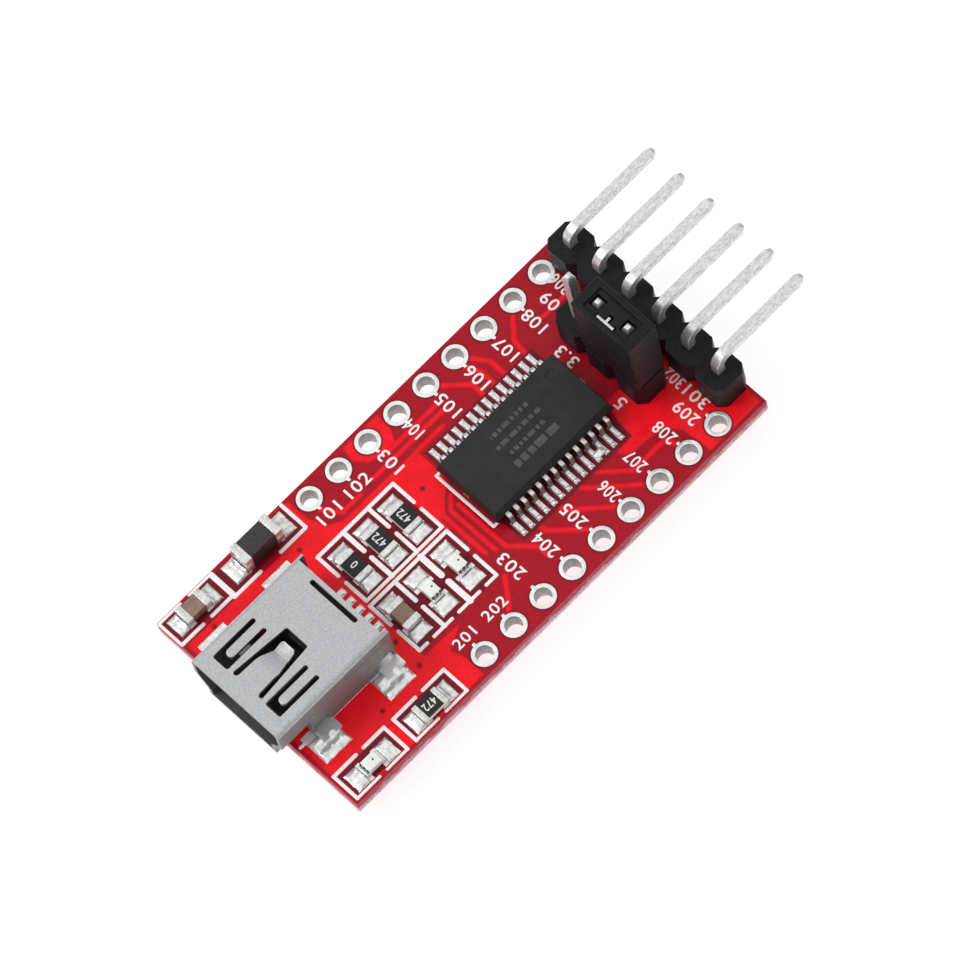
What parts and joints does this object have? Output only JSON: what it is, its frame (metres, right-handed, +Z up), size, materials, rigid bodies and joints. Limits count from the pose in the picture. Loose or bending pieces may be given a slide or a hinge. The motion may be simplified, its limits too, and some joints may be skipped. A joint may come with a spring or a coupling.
{
  "type": "usb to serial adapter board",
  "caption": "Small red circuit board with a mini USB socket, an interface chip, plated pin holes, an angled pin strip and a pull-off voltage jumper.",
  "frame": {"origin": "centre of the two rows of plated pin holes, on the board's underside", "axes": "+X from the USB socket to the angled pin strip, +Y towards the row of holes beside the capacitors, +Z up from the component side"},
  "size_m": [0.0429, 0.0176, 0.0111],
  "materials": {
    "red_board": "glass-fibre laminate with glossy red lacquer and white print",
    "tinned_copper": "tinned copper, slightly uneven",
    "bare_copper": "bare copper",
    "solder": "smooth bright solder",
    "chip_plastic": "fine matt moulded epoxy",
    "tinned_leads": "satin tin plating",
    "silicon": "polished silicon",
    "white_ceramic": "dense white ceramic",
    "resistor_film": "fired resistive film",
    "resistor_coat": "black glass coat with white number code",
    "tan_ceramic": "fired tan ceramic",
    "brown_ceramic": "fired dark brown ceramic",
    "lamp_resin": "milky clear epoxy",
    "socket_steel": "nickel-plated sheet steel with a fine grain",
    "black_plastic": "moulded black thermoplastic",
    "pin_metal": "tinned brass wire, drawn square",
    "clip_metal": "tinned spring bronze"
  },
  "bodies": {
    "board": {"circuit_board": "red_board", "hole_plating": "tinned_copper", "header_plating": "tinned_copper", "via_plating": "bare_copper", "component_lands": "tinned_copper", "chip_lands": "tinned_copper", "socket_lands": "tinned_copper", "chip_body": "chip_plastic", "chip_leads": "tinned_leads", "chip_paddle": "bare_copper", "chip_die": "silicon", "chip_solder": "solder", "resistor_cores": "white_ceramic", "resistor_films": "resistor_film", "resistor_coats": "resistor_coat", "resistor_ends": "tinned_leads", "small_capacitor_bodies": "tan_ceramic", "small_capacitor_ends": "tinned_leads", "large_capacitor_body": "brown_ceramic", "large_capacitor_ends": "tinned_leads", "lamp_bases": "white_ceramic", "lamp_lenses": "lamp_resin", "lamp_dies": "silicon", "lamp_ends": "tinned_leads", "component_solder": "solder", "socket_shell": "socket_steel", "socket_insulator": "black_plastic", "socket_contacts": "tinned_leads", "socket_solder": "solder", "angled_strip": "black_plastic", "angled_pins_set": "pin_metal", "upright_strip": "black_plastic", "upright_pins_set": "pin_metal", "header_solder": "solder"},
    "jumper": {"jumper_cap": "black_plastic", "jumper_clip": "clip_metal"}
  },
  "joints": [
    {"name": "jumper_pull", "type": "slide", "parent": "board", "child": "jumper", "axis": [0, 0, 1], "range_m": [0, 0.007]}
  ]
}
